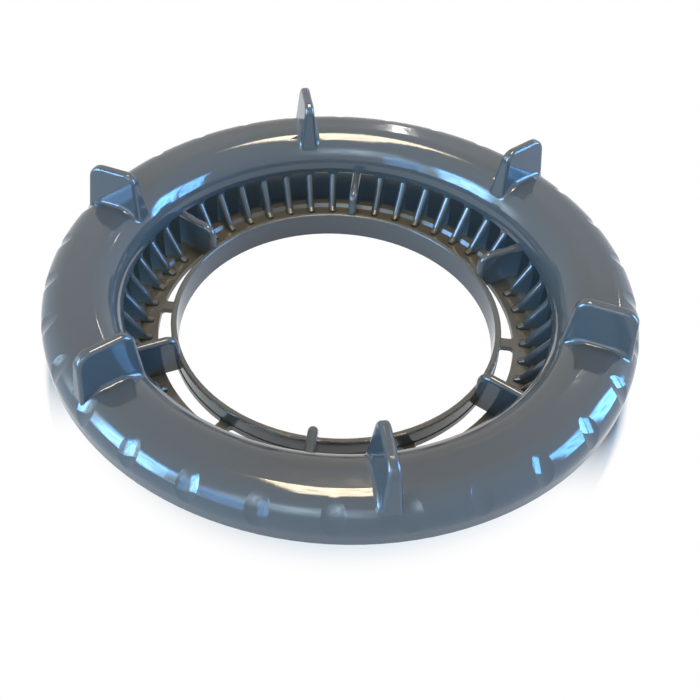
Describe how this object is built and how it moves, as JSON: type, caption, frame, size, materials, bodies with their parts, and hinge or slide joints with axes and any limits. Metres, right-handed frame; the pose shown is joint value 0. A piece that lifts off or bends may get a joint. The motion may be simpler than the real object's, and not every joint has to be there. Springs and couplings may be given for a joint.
{
  "type": "filter locking ring",
  "caption": "Round plastic locking ring for a filter: a hollow rolled rim with upright grip fins, joined by a ring of air vanes to a low slotted hub round an open centre.",
  "frame": {"origin": "on the ring's axis, in the plane of the flat underside that it rests on", "axes": "+Z along the ring's axis from the rest face towards the fins, +X through the middle of one bridge between two drain slots"},
  "size_m": [0.162, 0.162, 0.0373],
  "materials": {
    "locking_ring": "glossy moulded plastic, blue-grey"
  },
  "bodies": {
    "root": {"locking_ring": "locking_ring"}
  },
  "joints": []
}
